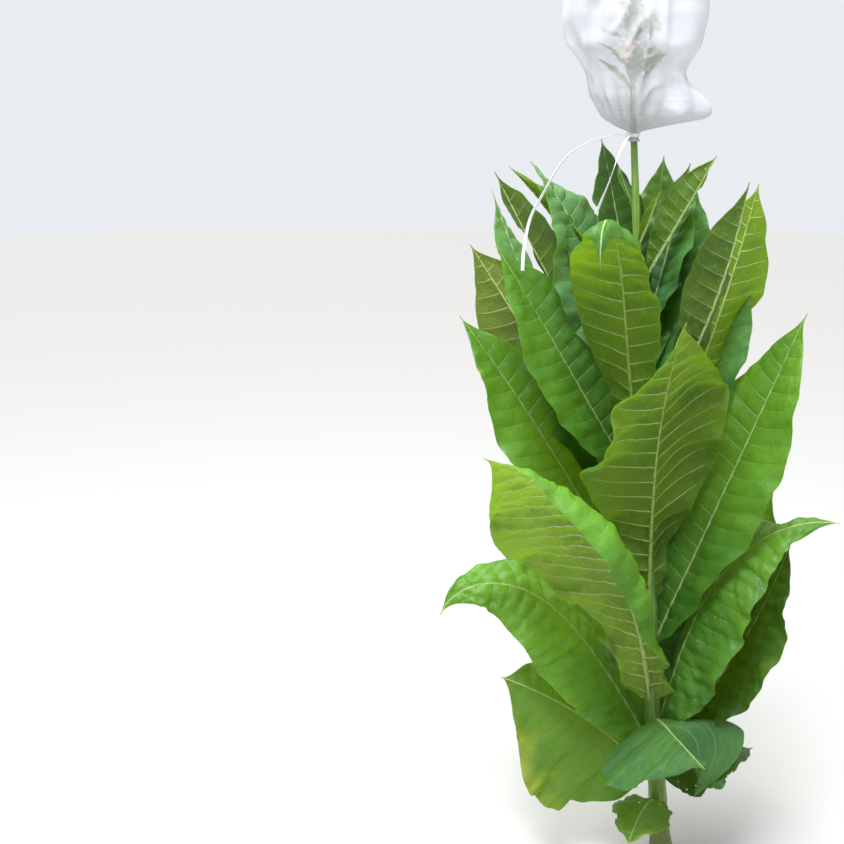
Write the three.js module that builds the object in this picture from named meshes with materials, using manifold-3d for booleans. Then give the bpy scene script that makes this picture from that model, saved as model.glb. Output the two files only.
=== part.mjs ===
// A flowering tobacco plant, rooted in the ground, with a fabric bag tied over its flower head.
// Millimetres, +Z up, the foot of the stem at the origin, +Y away from the usual viewer.
import * as THREE from 'three';
import { mergeVertices } from 'three/addons/utils/BufferGeometryUtils.js';
import Module from 'manifold-3d';

const wasm = await Module();
wasm.setup();

// The stem leans to the left and thins from its flared foot to its tip in the bag.
const STEM_HEIGHT = 1300;
const STEM_LEAN = 106;        // how far the tip stands off the foot, towards -X
const LEAN_BOW = 0.9;
const STEM_FOOT_RADIUS = 17;
const STEM_TIP_RADIUS = 4.5;
const STEM_TAPER = 0.9;
const FLARE = 6;              // what the root flare adds to the radius at the ground
const FLARE_HEIGHT = 22;
const STEM_SIDES = 12;
const STEM_STEP = 130;
const FLARE_RINGS = [0, 8, 20, 40];

const GAP = 0.3;              // between any two pieces that meet
const SLIVER = 0.1;           // finer edges than this, left by a cut, are dropped
const LEAF_ROWS = 10;         // quads from the foot of a blade to its tip
const LEAF_COLUMNS = 2;       // quads from the midrib to a margin
const LEAF_SUNK = 3;          // how deep a blade's foot starts in the stem before it is cut clear
const LEAF_THINNESS = 100;    // a blade's length over its thickness
const LEAF_LEAST_WIDTH = 3;   // half the width that is left at the tip
const MIDRIB_STEPS = 6;       // steps of the midrib's curve in each row
const TURN_LATE = 1.4;        // the turn gathers towards the tip
const FULLNESS = 0.85;        // how blunt a blade's outline is at its foot
const DRAWN_OUT = 0.3;        // how much sharper it is at its tip
const TIP_CUT = 24;           // how close to the tip it closes

// Each leaf: at (height on the stem), heading (degrees from +X towards +Y), turn (what the heading
// gains by the tip), rise (elevation at the foot and the tip) and bend (how late it changes), length,
// width, roll about the midrib at the foot and the tip, and for the left and right half the fold
// at the foot and the tip and the curl of the margin. widest and wing shape the outline.
const LEAVES = {
  leaf_01: { at: 105, heading: -120, rise: [30, -42], bend: 0.9, length: 140, width: 110,
    left: [5, 0, -20], right: [5, 0, -20] },
  leaf_02: { at: 150, heading: 200, turn: -12, rise: [50, 18], bend: 1.2, length: 340, width: 338,
    roll: [25, 30], left: [-45, -45, -20], right: [10, 5, -25], widest: 0.45, wing: 0.3 },
  leaf_03: { at: 155, heading: -14, turn: 45, rise: [38, 4], bend: 1, length: 172, width: 185,
    roll: [-18, 10], left: [5, -5, -30], right: [-8, 20, -30] },
  leaf_04: { at: 180, heading: 98, turn: 10, rise: [58, 0], bend: 1.5, length: 480, width: 230,
    left: [20, 0, -20], right: [20, 0, -20] },
  leaf_05: { at: 190, heading: 8, rise: [55, 75], bend: 1.2, length: 450, width: 210, roll: [-25, -25],
    left: [25, 5, -20], right: [25, 5, -20], wing: 0.3 },
  leaf_06: { at: 215, heading: 191, turn: 13, rise: [59, -70], bend: 3.6, length: 547, width: 216,
    roll: [14, 34], left: [-23, -25, -15], right: [-10, -2, -15], wing: 0.4, widest: 0.44 },
  leaf_07: { at: 230, heading: 36, rise: [62, 66], bend: 1.2, length: 500, width: 170,
    roll: [-10, -10], left: [25, 10, -15], right: [25, 10, -15] },
  leaf_08: { at: 262, heading: -14, rise: [70, 0], bend: 3.5, length: 510, width: 230,
    roll: [-35, -30], left: [0, 0, -20], right: [20, 5, -20], widest: 0.42, wing: 0.42 },
  leaf_09: { at: 265, heading: -80, turn: 34, rise: [29, -19], bend: 1, length: 217, width: 275,
    roll: [-15, -9], left: [-27, -58, -30], right: [-19, -28, -21], widest: 0.45, wing: 0.25 },
  leaf_10: { at: 300, heading: -123, turn: -29, rise: [78, 25], bend: 1.2, length: 630, width: 290,
    roll: [-46, -80], left: [-42, -44, -60], right: [25, 38, -20], wing: 0.34, widest: 0.65 },
  leaf_11: { at: 310, heading: 84, rise: [61, 25], bend: 1.5, length: 520, width: 230,
    left: [20, 5, -20], right: [20, 5, -20] },
  leaf_12: { at: 350, heading: 112, rise: [64, 30], bend: 1.5, length: 530, width: 190,
    left: [25, 5, -20], right: [25, 5, -20] },
  leaf_13: { at: 410, heading: 5, rise: [70, 70], bend: 1.5, length: 620, width: 220, roll: [-35, -35],
    left: [20, 10, -15], right: [15, 10, -15], wing: 0.3 },
  leaf_14: { at: 450, heading: 181, rise: [62, 52], bend: 1.2, length: 620, width: 210, roll: [30, 30],
    left: [5, 5, -15], right: [25, 30, -15], wing: 0.3 },
  leaf_15: { at: 470, heading: 95, rise: [70, 45], bend: 1.5, length: 540, width: 200,
    left: [15, 0, -20], right: [25, 5, -20] },
  leaf_16: { at: 475, heading: -95, turn: 35, rise: [80, 61], bend: 1.2, length: 558, width: 280,
    left: [48, 18, -75], right: [12, -21, -25], widest: 0.6, wing: 0.25, roll: [-25, -13] },
  leaf_17: { at: 520, heading: 152, rise: [54, 20], bend: 3, length: 550, width: 160, roll: [-20, -10],
    left: [20, 10, -15], right: [30, 20, -15] },
  leaf_18: { at: 570, heading: 80, rise: [64, 52], bend: 1.5, length: 500, width: 200,
    left: [10, 0, -20], right: [25, 5, -20] },
  leaf_19: { at: 600, heading: 55, rise: [62, 70], bend: 1.2, length: 560, width: 180,
    left: [30, 10, -15], right: [30, 10, -15], wing: 0.25 },
  leaf_20: { at: 610, heading: 163, rise: [56, 53], bend: 1, length: 582, width: 219, roll: [-37, -93],
    left: [10, 5, -15], right: [10, 5, -15], turn: 2, widest: 0.58 },
  leaf_21: { at: 640, heading: -125, turn: 36, rise: [77, -125], bend: 6.2, length: 670, width: 157,
    left: [30, -35, -40], right: [30, -35, -15], widest: 0.61 },
  leaf_22: { at: 640, heading: 96, rise: [66, 60], bend: 1.5, length: 420, width: 170,
    left: [25, 5, -20], right: [25, 5, -20] },
  leaf_23: { at: 670, heading: 195, rise: [60, 58], bend: 1.5, length: 500, width: 180, roll: [50, 50],
    left: [20, 10, -15], right: [45, 35, -15], wing: 0.3 },
  leaf_24: { at: 690, heading: 30, rise: [63, 78], bend: 0.79, length: 533, width: 195, roll: [37, 79],
    left: [6, 5, -15], right: [8, 6, -15], wing: 0.3, widest: 0.6, turn: -9 },
  leaf_25: { at: 730, heading: 147, rise: [38, 57], bend: 0.93, length: 595, width: 170,
    roll: [-4, -29], left: [11, -8, -15], right: [21, -10, -15], widest: 0.45, turn: -17 },
  leaf_26: { at: 780, heading: -34, rise: [57, 80], bend: 1.11, length: 461, width: 114,
    left: [13, 43, -10], right: [37, 46, -10], widest: 0.66, turn: -11, roll: [22, -20] },
  leaf_27: { at: 790, heading: 175, rise: [55, 62], bend: 0.94, length: 495, width: 167,
    roll: [-16, -37], left: [15, 17, -15], right: [25, 13, -15], widest: 0.64, turn: 2 },
  leaf_28: { at: 800, heading: 62, rise: [75, 70], bend: 1.2, length: 430, width: 170,
    left: [30, 10, -15], right: [30, 10, -15] },
  leaf_29: { at: 860, heading: 84, rise: [74, 66], bend: 1.5, length: 400, width: 130,
    left: [25, 5, -20], right: [25, 5, -20] },
  leaf_30: { at: 885, heading: 178, rise: [67, 49], bend: 2.25, length: 395, width: 180,
    roll: [55, 12], left: [-14, 2, -15], right: [14, 17, -15], turn: 13, widest: 0.45 },
  leaf_31: { at: 930, heading: 48, rise: [72, 74], bend: 1.2, length: 310, width: 130,
    left: [30, 10, -15], right: [30, 10, -15] },
  leaf_32: { at: 930, heading: 165, rise: [57, 44], bend: 1.22, length: 374, width: 108,
    left: [52, 41, -15], right: [55, 40, -15], turn: 6, roll: [5, -3] },
  leaf_33: { at: 960, heading: 140, rise: [72, 72], bend: 1.2, length: 320, width: 130,
    left: [30, 10, -15], right: [30, 10, -15] },
  leaf_34: { at: 1030, heading: -13, rise: [62, 60], bend: 1.21, length: 241, width: 79,
    roll: [15, 16], left: [35, 33, -15], right: [46, 45, -15], widest: 0.58, turn: -20 },
  leaf_35: { at: 1095, heading: -35, rise: [64, 72], length: 95, width: 26, left: [35, 20, -10],
    right: [35, 20, -10] },
  leaf_36: { at: 1150, heading: 150, rise: [60, 70], length: 80, width: 20, left: [35, 20, -10],
    right: [35, 20, -10] },
};

// The flower head: a stalk that carries on from the stem, with side stalks and clusters of buds
const HEAD_HEIGHT = 165;
const HEAD_LEAN = 4;
const HEAD_RADII = [3.2, 1.3];        // of the main stalk, at its foot and its tip
const BRANCHES = 7;
const BRANCH_SPAN = [0.22, 0.92];     // where the first and the last leave the main stalk
const BRANCH_LENGTH = 58;
const BRANCH_SHORTENS = 0.55;         // the share of it that is lost by the top
const BRANCH_RISE = [48, 68];         // degrees, at the foot of the head and at its top
const BRANCH_RADII = [1.8, 1.1];
const GOLDEN_ANGLE = 137.5;           // degrees round the stalk from one branch to the next
const BUDS_PER_CLUSTER = 3;
const BUD_SPREAD = 32;                // degrees
const BUD_LENGTH = 17;
const BUD_RADIUS = 3.6;
const BUD_SHAPE = [[-0.1, 0.35], [0.45, 1], [1, 0.3]];  // shares of its length and its radius
const HEAD_SLIVER = 0.7;
const OFF_AXIS = [0.3, 1, 0];         // a direction that no stalk takes

// The bag: heights and radii of its rings, from the loose skirt under the tie to the crown
const NECK_RADIUS = 7.4;
const BAG_RINGS = [
  [1260, 11], [1267, NECK_RADIUS], [1277, NECK_RADIUS], [1285, 24], [1301, 46], [1332, 64],
  [1368, 74], [1405, 98], [1450, 105], [1495, 103], [1538, 90], [1568, 62], [1582, 32],
];
const BAG_TOP = 1587;
const BAG_SIDES = 20;
const BAG_THICKNESS = 2;
const BAG_LEAN = 0.03;        // how far the bag sags to the left for each millimetre of its height
const NECK_HEIGHT = 1272;
const LOOSE_HEIGHT = 60;      // above the neck, until the folds have their full depth
const PLEAT = 0.06;           // share of the radius that the folds stand in and out
const FOLDS = [[3, 0.6, 1], [5, 2, 0.8]];  // how many go round the bag, their phase and weight
const LOBE = 72;              // how far the loose lower corner stands out on the right
const LOBE_HEIGHT = 1302;
const LOBE_DOWN = 22;         // how soon it fades below that height
const LOBE_UP = 38;           // and above it
const LOBE_WIDE = 0.55;       // radians
const LOBE_LOOSE = [5, 24];   // heights above the neck between which it comes loose
const TIE_RADIUS = 1.9;
const TIE_SIDES = 6;
const TIE_CLEAR = 0.4;        // between the ring of the tie and the neck

// The two loose ends of the ribbon that ties the bag
const RIBBON_WIDTH = 5;
const RIBBON_THICKNESS = 1.2;
const RIBBONS = {
  bag_ribbon_left: [[-115, -5, 1272], [-138, -22, 1271], [-168, -60, 1262], [-198, -88, 1242],
    [-217, -100, 1214], [-233, -105, 1184], [-252, -107, 1146], [-261, -106, 1100], [-263, -104, 1064]],
  bag_ribbon_right: [[-108.2, -11.2, 1272], [-113, -24, 1266], [-124, -36, 1242], [-138, -44, 1196],
    [-156, -48, 1150]],
};

const COLOURS = {
  stem: 0x6f9a45, leaf: 0x4f8a2c, flower_head: 0x8fae55, flower_bag: 0xf2f0ec, trim: 0xfafaf8,
};

const { sin, cos, exp, min, max, sqrt, log, PI } = Math;
const radians = THREE.MathUtils.degToRad;
const lerp = THREE.MathUtils.lerp;
const vec = (x, y, z) => new THREE.Vector3(x, y, z);

const group = new THREE.Group();
group.name = 'tobacco_plant';

function addPiece(name, geometry, colour, roughness = 0.6) {
  const material = new THREE.MeshStandardMaterial({ color: colour, roughness, metalness: 0 });
  const mesh = new THREE.Mesh(geometry, material);
  mesh.name = name;
  group.add(mesh);
}

// Closed triangle meshes to manifold solids and back
function toSolid(vertices, triangles) {
  const geometry = new THREE.BufferGeometry();
  geometry.setAttribute('position', new THREE.Float32BufferAttribute(vertices.flat(), 3));
  geometry.setIndex(triangles.flat());
  return geometrySolid(geometry);
}

function geometrySolid(geometry) {
  const bare = geometry.clone();
  bare.deleteAttribute('normal');
  bare.deleteAttribute('uv');
  const merged = mergeVertices(bare, 1e-4);
  return new wasm.Manifold(new wasm.Mesh({
    numProp: 3,
    vertProperties: new Float32Array(merged.attributes.position.array),
    triVerts: new Uint32Array(merged.index.array),
  }));
}

function toGeometry(solid) {
  const mesh = solid.getMesh();
  const geometry = new THREE.BufferGeometry();
  geometry.setAttribute('position', new THREE.BufferAttribute(mesh.vertProperties, 3));
  geometry.setIndex(new THREE.BufferAttribute(mesh.triVerts, 1));
  geometry.computeVertexNormals();
  return geometry;
}

function largestPiece(solid) {
  return solid.decompose().sort((a, b) => b.volume() - a.volume())[0];
}

// A closed skin over rings of points, with a fan on each end
function loft(rings) {
  const vertices = rings.flat();
  const n = rings[0].length;
  const triangles = [];
  for (let r = 0; r + 1 < rings.length; r++) {
    for (let i = 0; i < n; i++) {
      const a = r * n + i;
      const b = r * n + (i + 1) % n;
      triangles.push([a, b, b + n], [a, b + n, a + n]);
    }
  }
  const last = (rings.length - 1) * n;
  for (let i = 1; i + 1 < n; i++) {
    triangles.push([0, i + 1, i], [last, last + i, last + i + 1]);
  }
  return toSolid(vertices, triangles);
}

// The stem
function stemCentre(z) {
  return vec(-STEM_LEAN * (z / STEM_HEIGHT) ** LEAN_BOW, 0, z);
}

function stemRadius(z) {
  const taper = lerp(STEM_FOOT_RADIUS, STEM_TIP_RADIUS, (z / STEM_HEIGHT) ** STEM_TAPER);
  return taper + FLARE * exp(-z / FLARE_HEIGHT);
}

function stemSolid(grown) {
  const heights = [...FLARE_RINGS];
  for (let z = STEM_STEP; z < STEM_HEIGHT; z += STEM_STEP) heights.push(z);
  heights.push(STEM_HEIGHT);
  const rings = heights.map((z) => {
    const centre = stemCentre(z);
    const radius = stemRadius(z) + grown;
    return Array.from({ length: STEM_SIDES }, (_, i) => {
      const a = (2 * PI * i) / STEM_SIDES;
      return [centre.x + radius * cos(a), centre.y + radius * sin(a), z];
    });
  });
  return loft(rings);
}

// The half width along a leaf, as a share of the largest: a winged foot, a full middle, a drawn-out tip
function outline(s, widest, wing) {
  const power = log(0.5) / log(widest);
  const body = max(sin(PI * min(s, 1) ** power), 0) ** (FULLNESS + DRAWN_OUT * s);
  const foot = wing * (1 - s) ** 2;
  return sqrt(body * body + foot * foot) * (1 - s ** TIP_CUT);
}

// The midrib's points and its axes: along it, to its right, and out of its upper side
function midrib(leaf, rows) {
  const { at, heading, turn = 0, rise, bend = 1, length, roll = [0, 0] } = leaf;
  const axes = (s) => {
    const e = radians(lerp(rise[0], rise[1], s ** bend));
    const a = radians(heading + turn * s ** TURN_LATE);
    const r = radians(lerp(roll[0], roll[1], s));
    const flatRight = vec(sin(a), -cos(a), 0);
    const flatUp = vec(-sin(e) * cos(a), -sin(e) * sin(a), cos(e));
    return {
      along: vec(cos(e) * cos(a), cos(e) * sin(a), sin(e)),
      right: flatRight.clone().multiplyScalar(cos(r)).addScaledVector(flatUp, sin(r)),
      up: flatUp.multiplyScalar(cos(r)).addScaledVector(flatRight, -sin(r)),
    };
  };
  const h = radians(heading);
  const reach = stemRadius(at) - LEAF_SUNK;
  const point = stemCentre(at).add(vec(reach * cos(h), reach * sin(h), 0));
  const steps = rows * MIDRIB_STEPS;
  const rail = [{ s: 0, point: point.clone(), ...axes(0) }];
  for (let i = 1; i <= steps; i++) {
    point.addScaledVector(axes((i - 0.5) / steps).along, length / steps);
    if (i % MIDRIB_STEPS === 0) rail.push({ s: i / steps, point: point.clone(), ...axes(i / steps) });
  }
  return rail;
}

// One row of a blade from the left margin to the right: points and the normals of the upper side
function bladeRow(leaf, station, columns, grown) {
  const { s, point, right, up } = station;
  const { width, widest = 0.52, wing = 0.16, length } = leaf;
  const half = max(outline(s, widest, wing) * width / 2, LEAF_LEAST_WIDTH) + grown;
  const thick = length / LEAF_THINNESS / 2 + grown;
  const side = (fold, sign) => {
    const curl = fold[2] * sqrt(sin(PI * s));
    const slope = (v) => radians(lerp(fold[0], fold[1], s) + curl * v * v);
    const row = [];
    let out = 0;
    let lift = 0;
    for (let j = 0; j <= columns; j++) {
      const a = slope(j / columns);
      const place = point.clone().addScaledVector(right, sign * out).addScaledVector(up, lift);
      const normal = up.clone().multiplyScalar(cos(a)).addScaledVector(right, -sign * sin(a));
      row.push({ place, normal });
      const middle = slope((j + 0.5) / columns);
      out += cos(middle) * half / columns;
      lift += sin(middle) * half / columns;
    }
    return row;
  };
  const left = side(leaf.left, -1);
  const rightRow = side(leaf.right, 1);
  const crease = left[0].normal.clone().add(rightRow[0].normal).normalize();
  const middle = { place: point, normal: crease };
  return [...left.slice(1).reverse(), middle, ...rightRow.slice(1)].map(({ place, normal }) => ({
    upper: place.clone().addScaledVector(normal, thick).toArray(),
    lower: place.clone().addScaledVector(normal, -thick).toArray(),
  }));
}

function leafSolid(leaf, grown = 0) {
  const rows = midrib(leaf, LEAF_ROWS).map((station) => bladeRow(leaf, station, LEAF_COLUMNS, grown));
  const rings = rows.map((row) => [
    ...row.map((p) => p.lower),
    ...row.map((p) => p.upper).reverse(),
  ]);
  const n = rings[0].length;
  const wide = n / 2;
  const triangles = [];
  const quad = (a, b, c, d) => triangles.push([a, c, b], [a, d, c]);
  for (let r = 0; r + 1 < rings.length; r++) {
    for (let i = 0; i < n; i++) {
      const j = (i + 1) % n;
      quad(r * n + i, r * n + j, (r + 1) * n + j, (r + 1) * n + i);
    }
  }
  const last = (rings.length - 1) * n;
  for (let i = 0; i + 1 < wide; i++) {
    quad(i, n - 1 - i, n - 2 - i, i + 1);
    quad(last + i, last + i + 1, last + n - 2 - i, last + n - 1 - i);
  }
  return toSolid(rings.flat(), triangles);
}

// Each blade stands clear of the stem and of the blades that were made before it.
function addLeaves() {
  const stem = stemSolid(GAP);
  const made = [];
  for (const [name, leaf] of Object.entries(LEAVES)) {
    let blade = leafSolid(leaf).subtract(stem);
    for (const other of made) {
      if (boxesMeet(blade, other)) blade = blade.subtract(other);
    }
    blade = largestPiece(blade).simplify(SLIVER);
    made.push(leafSolid(leaf, GAP));
    addPiece(name, toGeometry(blade), COLOURS.leaf);
  }
}

function boxesMeet(a, b) {
  const p = a.boundingBox();
  const q = b.boundingBox();
  return [0, 1, 2].every((k) => p.min[k] <= q.max[k] && q.min[k] <= p.max[k]);
}

// A straight stalk with four sides through stations, each a point and the radius there
function stalkSolid(stations) {
  const along = stations[1][0].clone().sub(stations[0][0]).normalize();
  const across = along.clone().cross(vec(...OFF_AXIS)).normalize();
  const other = along.clone().cross(across);
  return loft(stations.map(([centre, radius]) => [[1, 0], [0, 1], [-1, 0], [0, -1]].map(([a, b]) => (
    centre.clone().addScaledVector(across, a * radius).addScaledVector(other, b * radius).toArray()
  ))));
}

function pointing(heading, rise) {
  return vec(cos(rise) * cos(heading), cos(rise) * sin(heading), sin(rise));
}

// Slim spindles that spread from the end of a stalk
function budCluster(foot, heading, rise) {
  const spread = radians(BUD_SPREAD);
  return Array.from({ length: BUDS_PER_CLUSTER }, (_, i) => {
    const around = (2 * PI * i) / BUDS_PER_CLUSTER + heading;
    const direction = pointing(heading + spread * sin(around), rise + spread * cos(around));
    return stalkSolid(BUD_SHAPE.map(([along, wide]) => (
      [foot.clone().addScaledVector(direction, along * BUD_LENGTH), wide * BUD_RADIUS]
    )));
  });
}

function headPoint(share) {
  return stemCentre(STEM_HEIGHT).add(vec(-HEAD_LEAN * share, 0, GAP + share * HEAD_HEIGHT));
}

function addFlowerHead() {
  const parts = [
    stalkSolid([[headPoint(0), HEAD_RADII[0]], [headPoint(1), HEAD_RADII[1]]]),
    ...budCluster(headPoint(1), 0, PI / 2),
  ];
  for (let i = 0; i < BRANCHES; i++) {
    const share = lerp(...BRANCH_SPAN, i / (BRANCHES - 1));
    const heading = radians(GOLDEN_ANGLE * i);
    const rise = radians(lerp(...BRANCH_RISE, share));
    const foot = headPoint(share);
    const reach = BRANCH_LENGTH * (1 - BRANCH_SHORTENS * share);
    const tip = foot.clone().addScaledVector(pointing(heading, rise), reach);
    parts.push(stalkSolid([[foot, BRANCH_RADII[0]], [tip, BRANCH_RADII[1]]]));
    parts.push(...budCluster(tip, heading, rise));
  }
  const fused = largestPiece(wasm.Manifold.union(parts)).simplify(HEAD_SLIVER);
  addPiece('flower_head', toGeometry(fused), COLOURS.flower_head);
}

// A ring of the bag, moved inwards by depth
function bagRing(k, depth) {
  const [low, high] = [BAG_RINGS[max(k - 1, 0)], BAG_RINGS[k + 1] ?? [BAG_TOP, 0]];
  const slant = Math.hypot(high[0] - low[0], high[1] - low[1]);
  const radius = BAG_RINGS[k][1] - depth * (high[0] - low[0]) / slant;
  const height = BAG_RINGS[k][0] + depth * (high[1] - low[1]) / slant;
  return Array.from({ length: BAG_SIDES }, (_, i) => {
    const turn = (2 * PI * i) / BAG_SIDES;
    return bagPoint(height, radius, turn > PI ? turn - 2 * PI : turn);
  });
}

function bagPoint(height, radius, turn) {
  const above = max(height - NECK_HEIGHT, 0);
  const loose = min(above / LOOSE_HEIGHT, 1);
  const wave = FOLDS.reduce((sum, [n, phase, weight]) => sum + weight * cos(n * turn + phase), 0);
  const off = height - LOBE_HEIGHT;
  const bulge = exp(-((turn / LOBE_WIDE) ** 2) - (off / (off > 0 ? LOBE_UP : LOBE_DOWN)) ** 2);
  const free = min(max(above - LOBE_LOOSE[0], 0) / (LOBE_LOOSE[1] - LOBE_LOOSE[0]), 1);
  const r = radius * (1 + PLEAT * loose * wave) + LOBE * free * bulge;
  const centre = stemCentre(min(height, STEM_HEIGHT));
  return [centre.x - BAG_LEAN * above + r * cos(turn), centre.y + r * sin(turn), height];
}

function addBag() {
  const outer = BAG_RINGS.map((_, k) => bagRing(k, 0));
  const inner = BAG_RINGS.map((_, k) => bagRing(k, BAG_THICKNESS));
  const rings = [...outer.reverse(), ...inner];
  const n = BAG_SIDES;
  const last = (rings.length - 1) * n;
  const vertices = rings.flat();
  const triangles = [];
  for (let r = 0; r + 1 < rings.length; r++) {
    for (let i = 0; i < n; i++) {
      const a = r * n + i;
      const b = r * n + (i + 1) % n;
      triangles.push([a, b + n, b], [a, a + n, b + n]);
    }
  }
  const top = vertices.length;
  vertices.push(bagPoint(BAG_TOP, 0, 0), bagPoint(BAG_TOP - BAG_THICKNESS, 0, 0));
  for (let i = 0; i < n; i++) {
    const j = (i + 1) % n;
    triangles.push([top, i, j], [top + 1, last + j, last + i]);
  }
  addPiece('flower_bag', toGeometry(toSolid(vertices, triangles)), COLOURS.flower_bag, 0.9);
}

function addTie() {
  const middle = NECK_RADIUS + TIE_CLEAR + TIE_RADIUS;
  const profile = Array.from({ length: TIE_SIDES + 1 }, (_, i) => {
    const a = (2 * PI * i) / TIE_SIDES;
    return new THREE.Vector2(middle + TIE_RADIUS * cos(a), TIE_RADIUS * sin(a));
  });
  const ring = new THREE.LatheGeometry(profile, BAG_SIDES).rotateX(PI / 2);
  const centre = stemCentre(NECK_HEIGHT);
  ring.translate(centre.x, centre.y, NECK_HEIGHT);
  addPiece('bag_tie', toGeometry(geometrySolid(ring)), COLOURS.trim, 0.8);
}

function addRibbons() {
  const section = new THREE.Shape();
  const w = RIBBON_WIDTH / 2;
  const t = RIBBON_THICKNESS / 2;
  section.moveTo(-t, -w);
  section.lineTo(t, -w);
  section.lineTo(t, w);
  section.lineTo(-t, w);
  for (const [name, points] of Object.entries(RIBBONS)) {
    const route = new THREE.CatmullRomCurve3(points.map((p) => vec(...p)));
    const strip = new THREE.ExtrudeGeometry(section, { steps: points.length * 3, extrudePath: route });
    addPiece(name, toGeometry(geometrySolid(strip)), COLOURS.trim, 0.8);
  }
}

addPiece('stem', toGeometry(stemSolid(0)), COLOURS.stem);
addLeaves();
addFlowerHead();
addBag();
addTie();
addRibbons();

export default group;
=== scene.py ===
"""A flowering tobacco plant, rooted in the ground, with a sheer bag tied over its flower head.

Lengths in the tables are millimetres and angles are degrees, as in the part's source. Meshes are in
metres, +Z up, the foot of the stem at the origin, +Y away from the usual viewer.
"""
from dataclasses import dataclass
from math import cos, pi, radians, sin

import bpy
import numpy as np
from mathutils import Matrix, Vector


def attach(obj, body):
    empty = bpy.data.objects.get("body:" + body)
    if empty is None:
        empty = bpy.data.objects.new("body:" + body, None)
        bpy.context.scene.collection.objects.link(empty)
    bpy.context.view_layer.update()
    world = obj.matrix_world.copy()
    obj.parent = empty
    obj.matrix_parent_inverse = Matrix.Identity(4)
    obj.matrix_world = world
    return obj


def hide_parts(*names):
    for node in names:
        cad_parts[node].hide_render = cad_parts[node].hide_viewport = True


MM = 0.001

# The stem leans to the left and thins from its flared foot to its tip in the bag.
STEM_HEIGHT = 1300
STEM_LEAN = 106
LEAN_BOW = 0.9
STEM_FOOT_RADIUS = 17
STEM_TIP_RADIUS = 4.5
STEM_TAPER = 0.9
FLARE = 6
FLARE_HEIGHT = 22
FLARE_RINGS = (0, 4, 9, 15, 22, 30, 40)
RING_STEP = 10
COLLAR = 0.9             # how far the stem swells where a leaf leaves it
COLLAR_HEIGHT = 9

# The blades
LEAF_SUNK = 3            # how deep a blade's foot starts in the stem
LEAF_LEAST_WIDTH = 0.8   # half the width that is left at the tip
SKIN = 0.4               # half the thickness of a blade
MIDRIB_STEPS = 4         # steps of the midrib's curve in each row
TURN_LATE = 1.4          # how late a blade turns sideways
FULLNESS = 0.85          # how sharply the outline narrows at the foot, and how much more at the tip
DRAWN_OUT = 0.3
TIP_CUT = 24             # how suddenly the tip ends
CLASP = 0.3              # how much of the foot's width is left where it meets the stem
CLASP_END = 0.05
ROW = 4.4                # length of a mesh row along a blade
COLUMN = 4.2             # mean width of a mesh column
CROWDED = 1.35           # how much closer the columns stand at the midrib
RAGGED_FINER = 2.2       # how much finer the mesh of an eaten blade is
RIPPLE = 0.034           # height of the ripples at the margin, as a share of the width
RIPPLES_FULL = 0.15      # how far along a blade they reach their height
RIPPLES_END = 6          # how late they fade towards the tip
PHASE = 0.137            # how far they shift with each millimetre that a blade stands higher
LEFT_BEHIND = 0.37       # how far the left margin's are out of step with the right's
SMALL_RIPPLES = (0.4, 2.3, 1.7)    # height, number and shift, beside those of the large ones
RIBS = 8                 # how many side ribs a blade has, and the length that adds one more
RIB_SPACE = 50
RIB_SWEEP = (0.18, 0.2)  # how far a side rib runs forward to the margin, evenly and in a curve
FIRST_RIB = 50           # keeps the ribs' numbers above 0
PUCKER = 3               # how high the puckers between the ribs are on a long blade
LONG_BLADE = 400
CRUMPLE = 10             # how high the strongly puckered blades are crumpled as well
SAG = 6                  # how far a blade rises and sinks slowly over its length
THICK_RIBS = 560         # the length of a blade whose ribs have their full size
RIB_WIDTH = 0.07         # of a side rib, beside the space between two
BITE = 16                # how large the eaten places are

# The bag
NECK_HEIGHT = 1272
NECK_RADIUS = 7.4
BAG_RINGS = [
    (1262, 9.8), (1267, 7.4), (1277, 7.4), (1285, 24), (1301, 46), (1332, 64), (1368, 74),
    (1405, 98), (1450, 105), (1495, 103), (1538, 90), (1568, 62), (1582, 32), (1587, 0),
]
BAG_ROWS = 150
BAG_COLUMNS = 220
BAG_LEAN = 0.03
CLOTH = 0.15             # half the thickness of the cloth
EASED_FROM = 1279        # the outline's corners are rounded above this height
LOOSE_HEIGHT = 60        # how far above the neck the cloth hangs loose
LOOSE_RADIUS = 40
PLEAT = 0.06
FOLDS = [(3, 0.6, 1), (5, 2, 0.8)]     # number round the bag, shift and weight
# Gathers: height, how far up they fade, number, how far and how often they sway, and their slant
GATHERS = [(0.16, 45, 17, 1.2, 3, 60), (0.05, 110, 9, 2, 2, -70)]
GATHER_START = 12
CREASE = 4.5
SMALL_CREASE = 1.2
LOBE = 72                # the lower right corner: how far it hangs out, where, and how far it reaches
LOBE_HEIGHT = 1302
LOBE_DOWN = 22
LOBE_UP = 38
LOBE_WIDE = 0.55
LOBE_LOOSE = 24
TIE_TURNS = 3
TIE_CORD = 1.25          # half the thickness of the ribbon where it is tied
TIE_CLEAR = 1.6          # from the neck to the middle of its innermost turn
TIE_HEIGHT = 5
KNOT = (-112, -8.6, NECK_HEIGHT)

RIBBONS = {
    "bag_ribbon_left": [
        (-115, -5, 1272), (-138, -22, 1271), (-168, -60, 1262), (-198, -88, 1242),
        (-217, -100, 1214), (-233, -105, 1184), (-252, -107, 1146), (-261, -106, 1100),
        (-263, -104, 1064)],
    "bag_ribbon_right": [
        (-108.2, -11.2, 1272), (-113, -24, 1266), (-124, -36, 1242), (-138, -44, 1196),
        (-156, -48, 1150)],
}

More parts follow.
